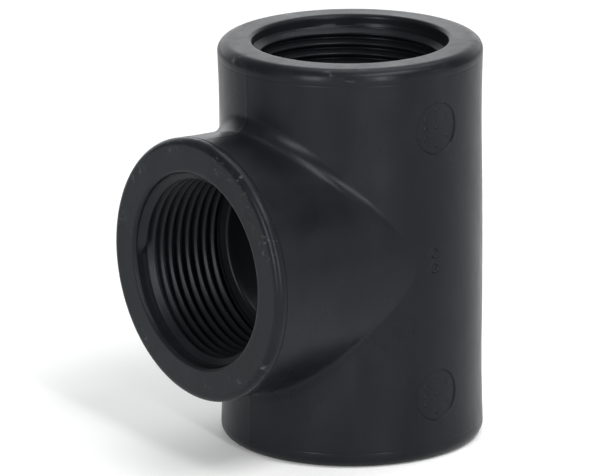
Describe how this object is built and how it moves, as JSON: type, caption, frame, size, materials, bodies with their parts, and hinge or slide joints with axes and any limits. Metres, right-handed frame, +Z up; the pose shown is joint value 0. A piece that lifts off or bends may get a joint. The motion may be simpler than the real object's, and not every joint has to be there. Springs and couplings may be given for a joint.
{
  "type": "threaded pipe tee",
  "caption": "Moulded plastic pipe tee with female parallel pipe threads on both run ends and on the side branch.",
  "frame": {"origin": "centre of the lower end face, on the run's axis", "axes": "+Z up the run axis, the branch leaves along -X at mid height, +Y is the far side from the round insert marks"},
  "size_m": [0.0717, 0.0572, 0.088],
  "materials": {
    "body": "satin black moulded plastic, glossier inside the sockets"
  },
  "bodies": {
    "root": {"tee_body": "body"}
  },
  "joints": []
}
